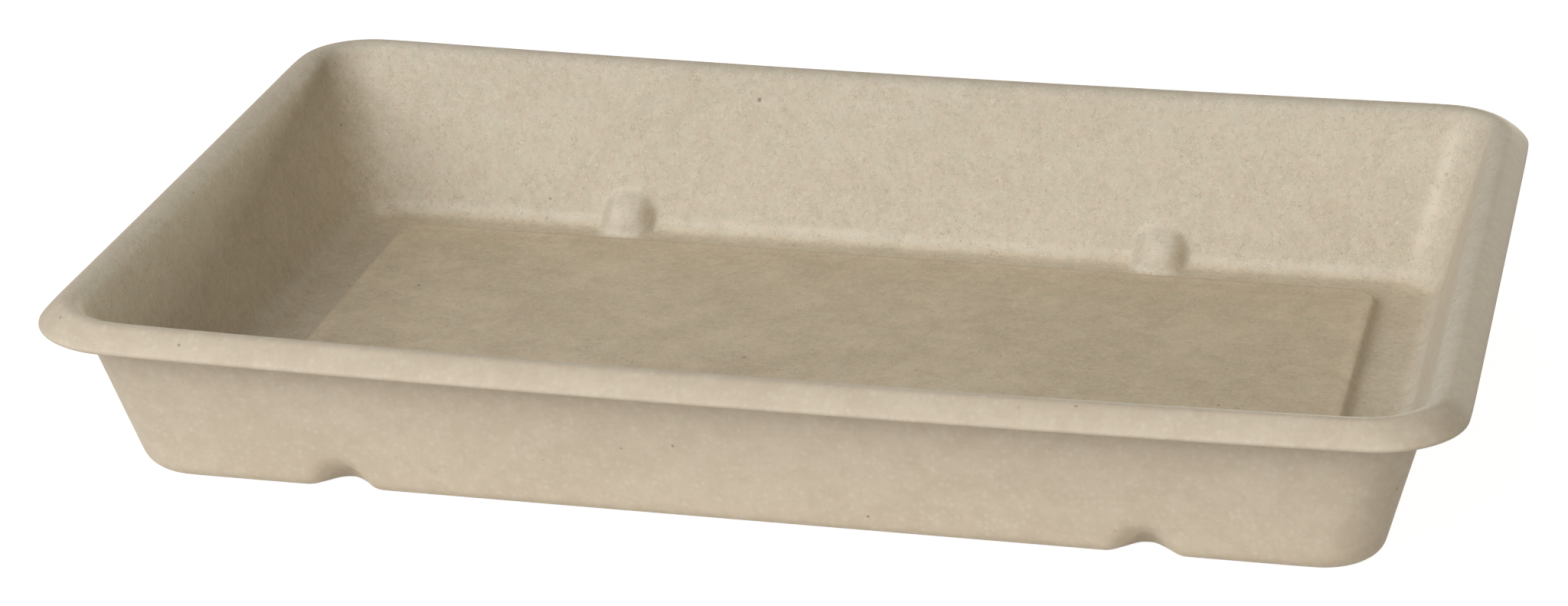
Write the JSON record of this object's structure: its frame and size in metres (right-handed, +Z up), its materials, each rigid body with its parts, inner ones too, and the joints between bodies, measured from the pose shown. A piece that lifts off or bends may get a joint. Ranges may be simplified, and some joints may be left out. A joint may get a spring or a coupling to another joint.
{
  "type": "bagasse meal box",
  "caption": "Shallow rectangular meal tray moulded from sugar-cane pulp, with a raised floor panel, drafted walls, stacking lugs and a rounded outward rim.",
  "frame": {"origin": "middle of the tray's outline, on the plane of the table it stands on", "axes": "+X along the length, +Y to the wall whose two lugs stand closer together, +Z up out of the open top"},
  "size_m": [0.23, 0.154, 0.0311],
  "materials": {
    "pulp": "matt moulded plant fibre, unbleached, with fine fibres and specks"
  },
  "bodies": {
    "root": {"tray": "pulp"}
  },
  "joints": []
}
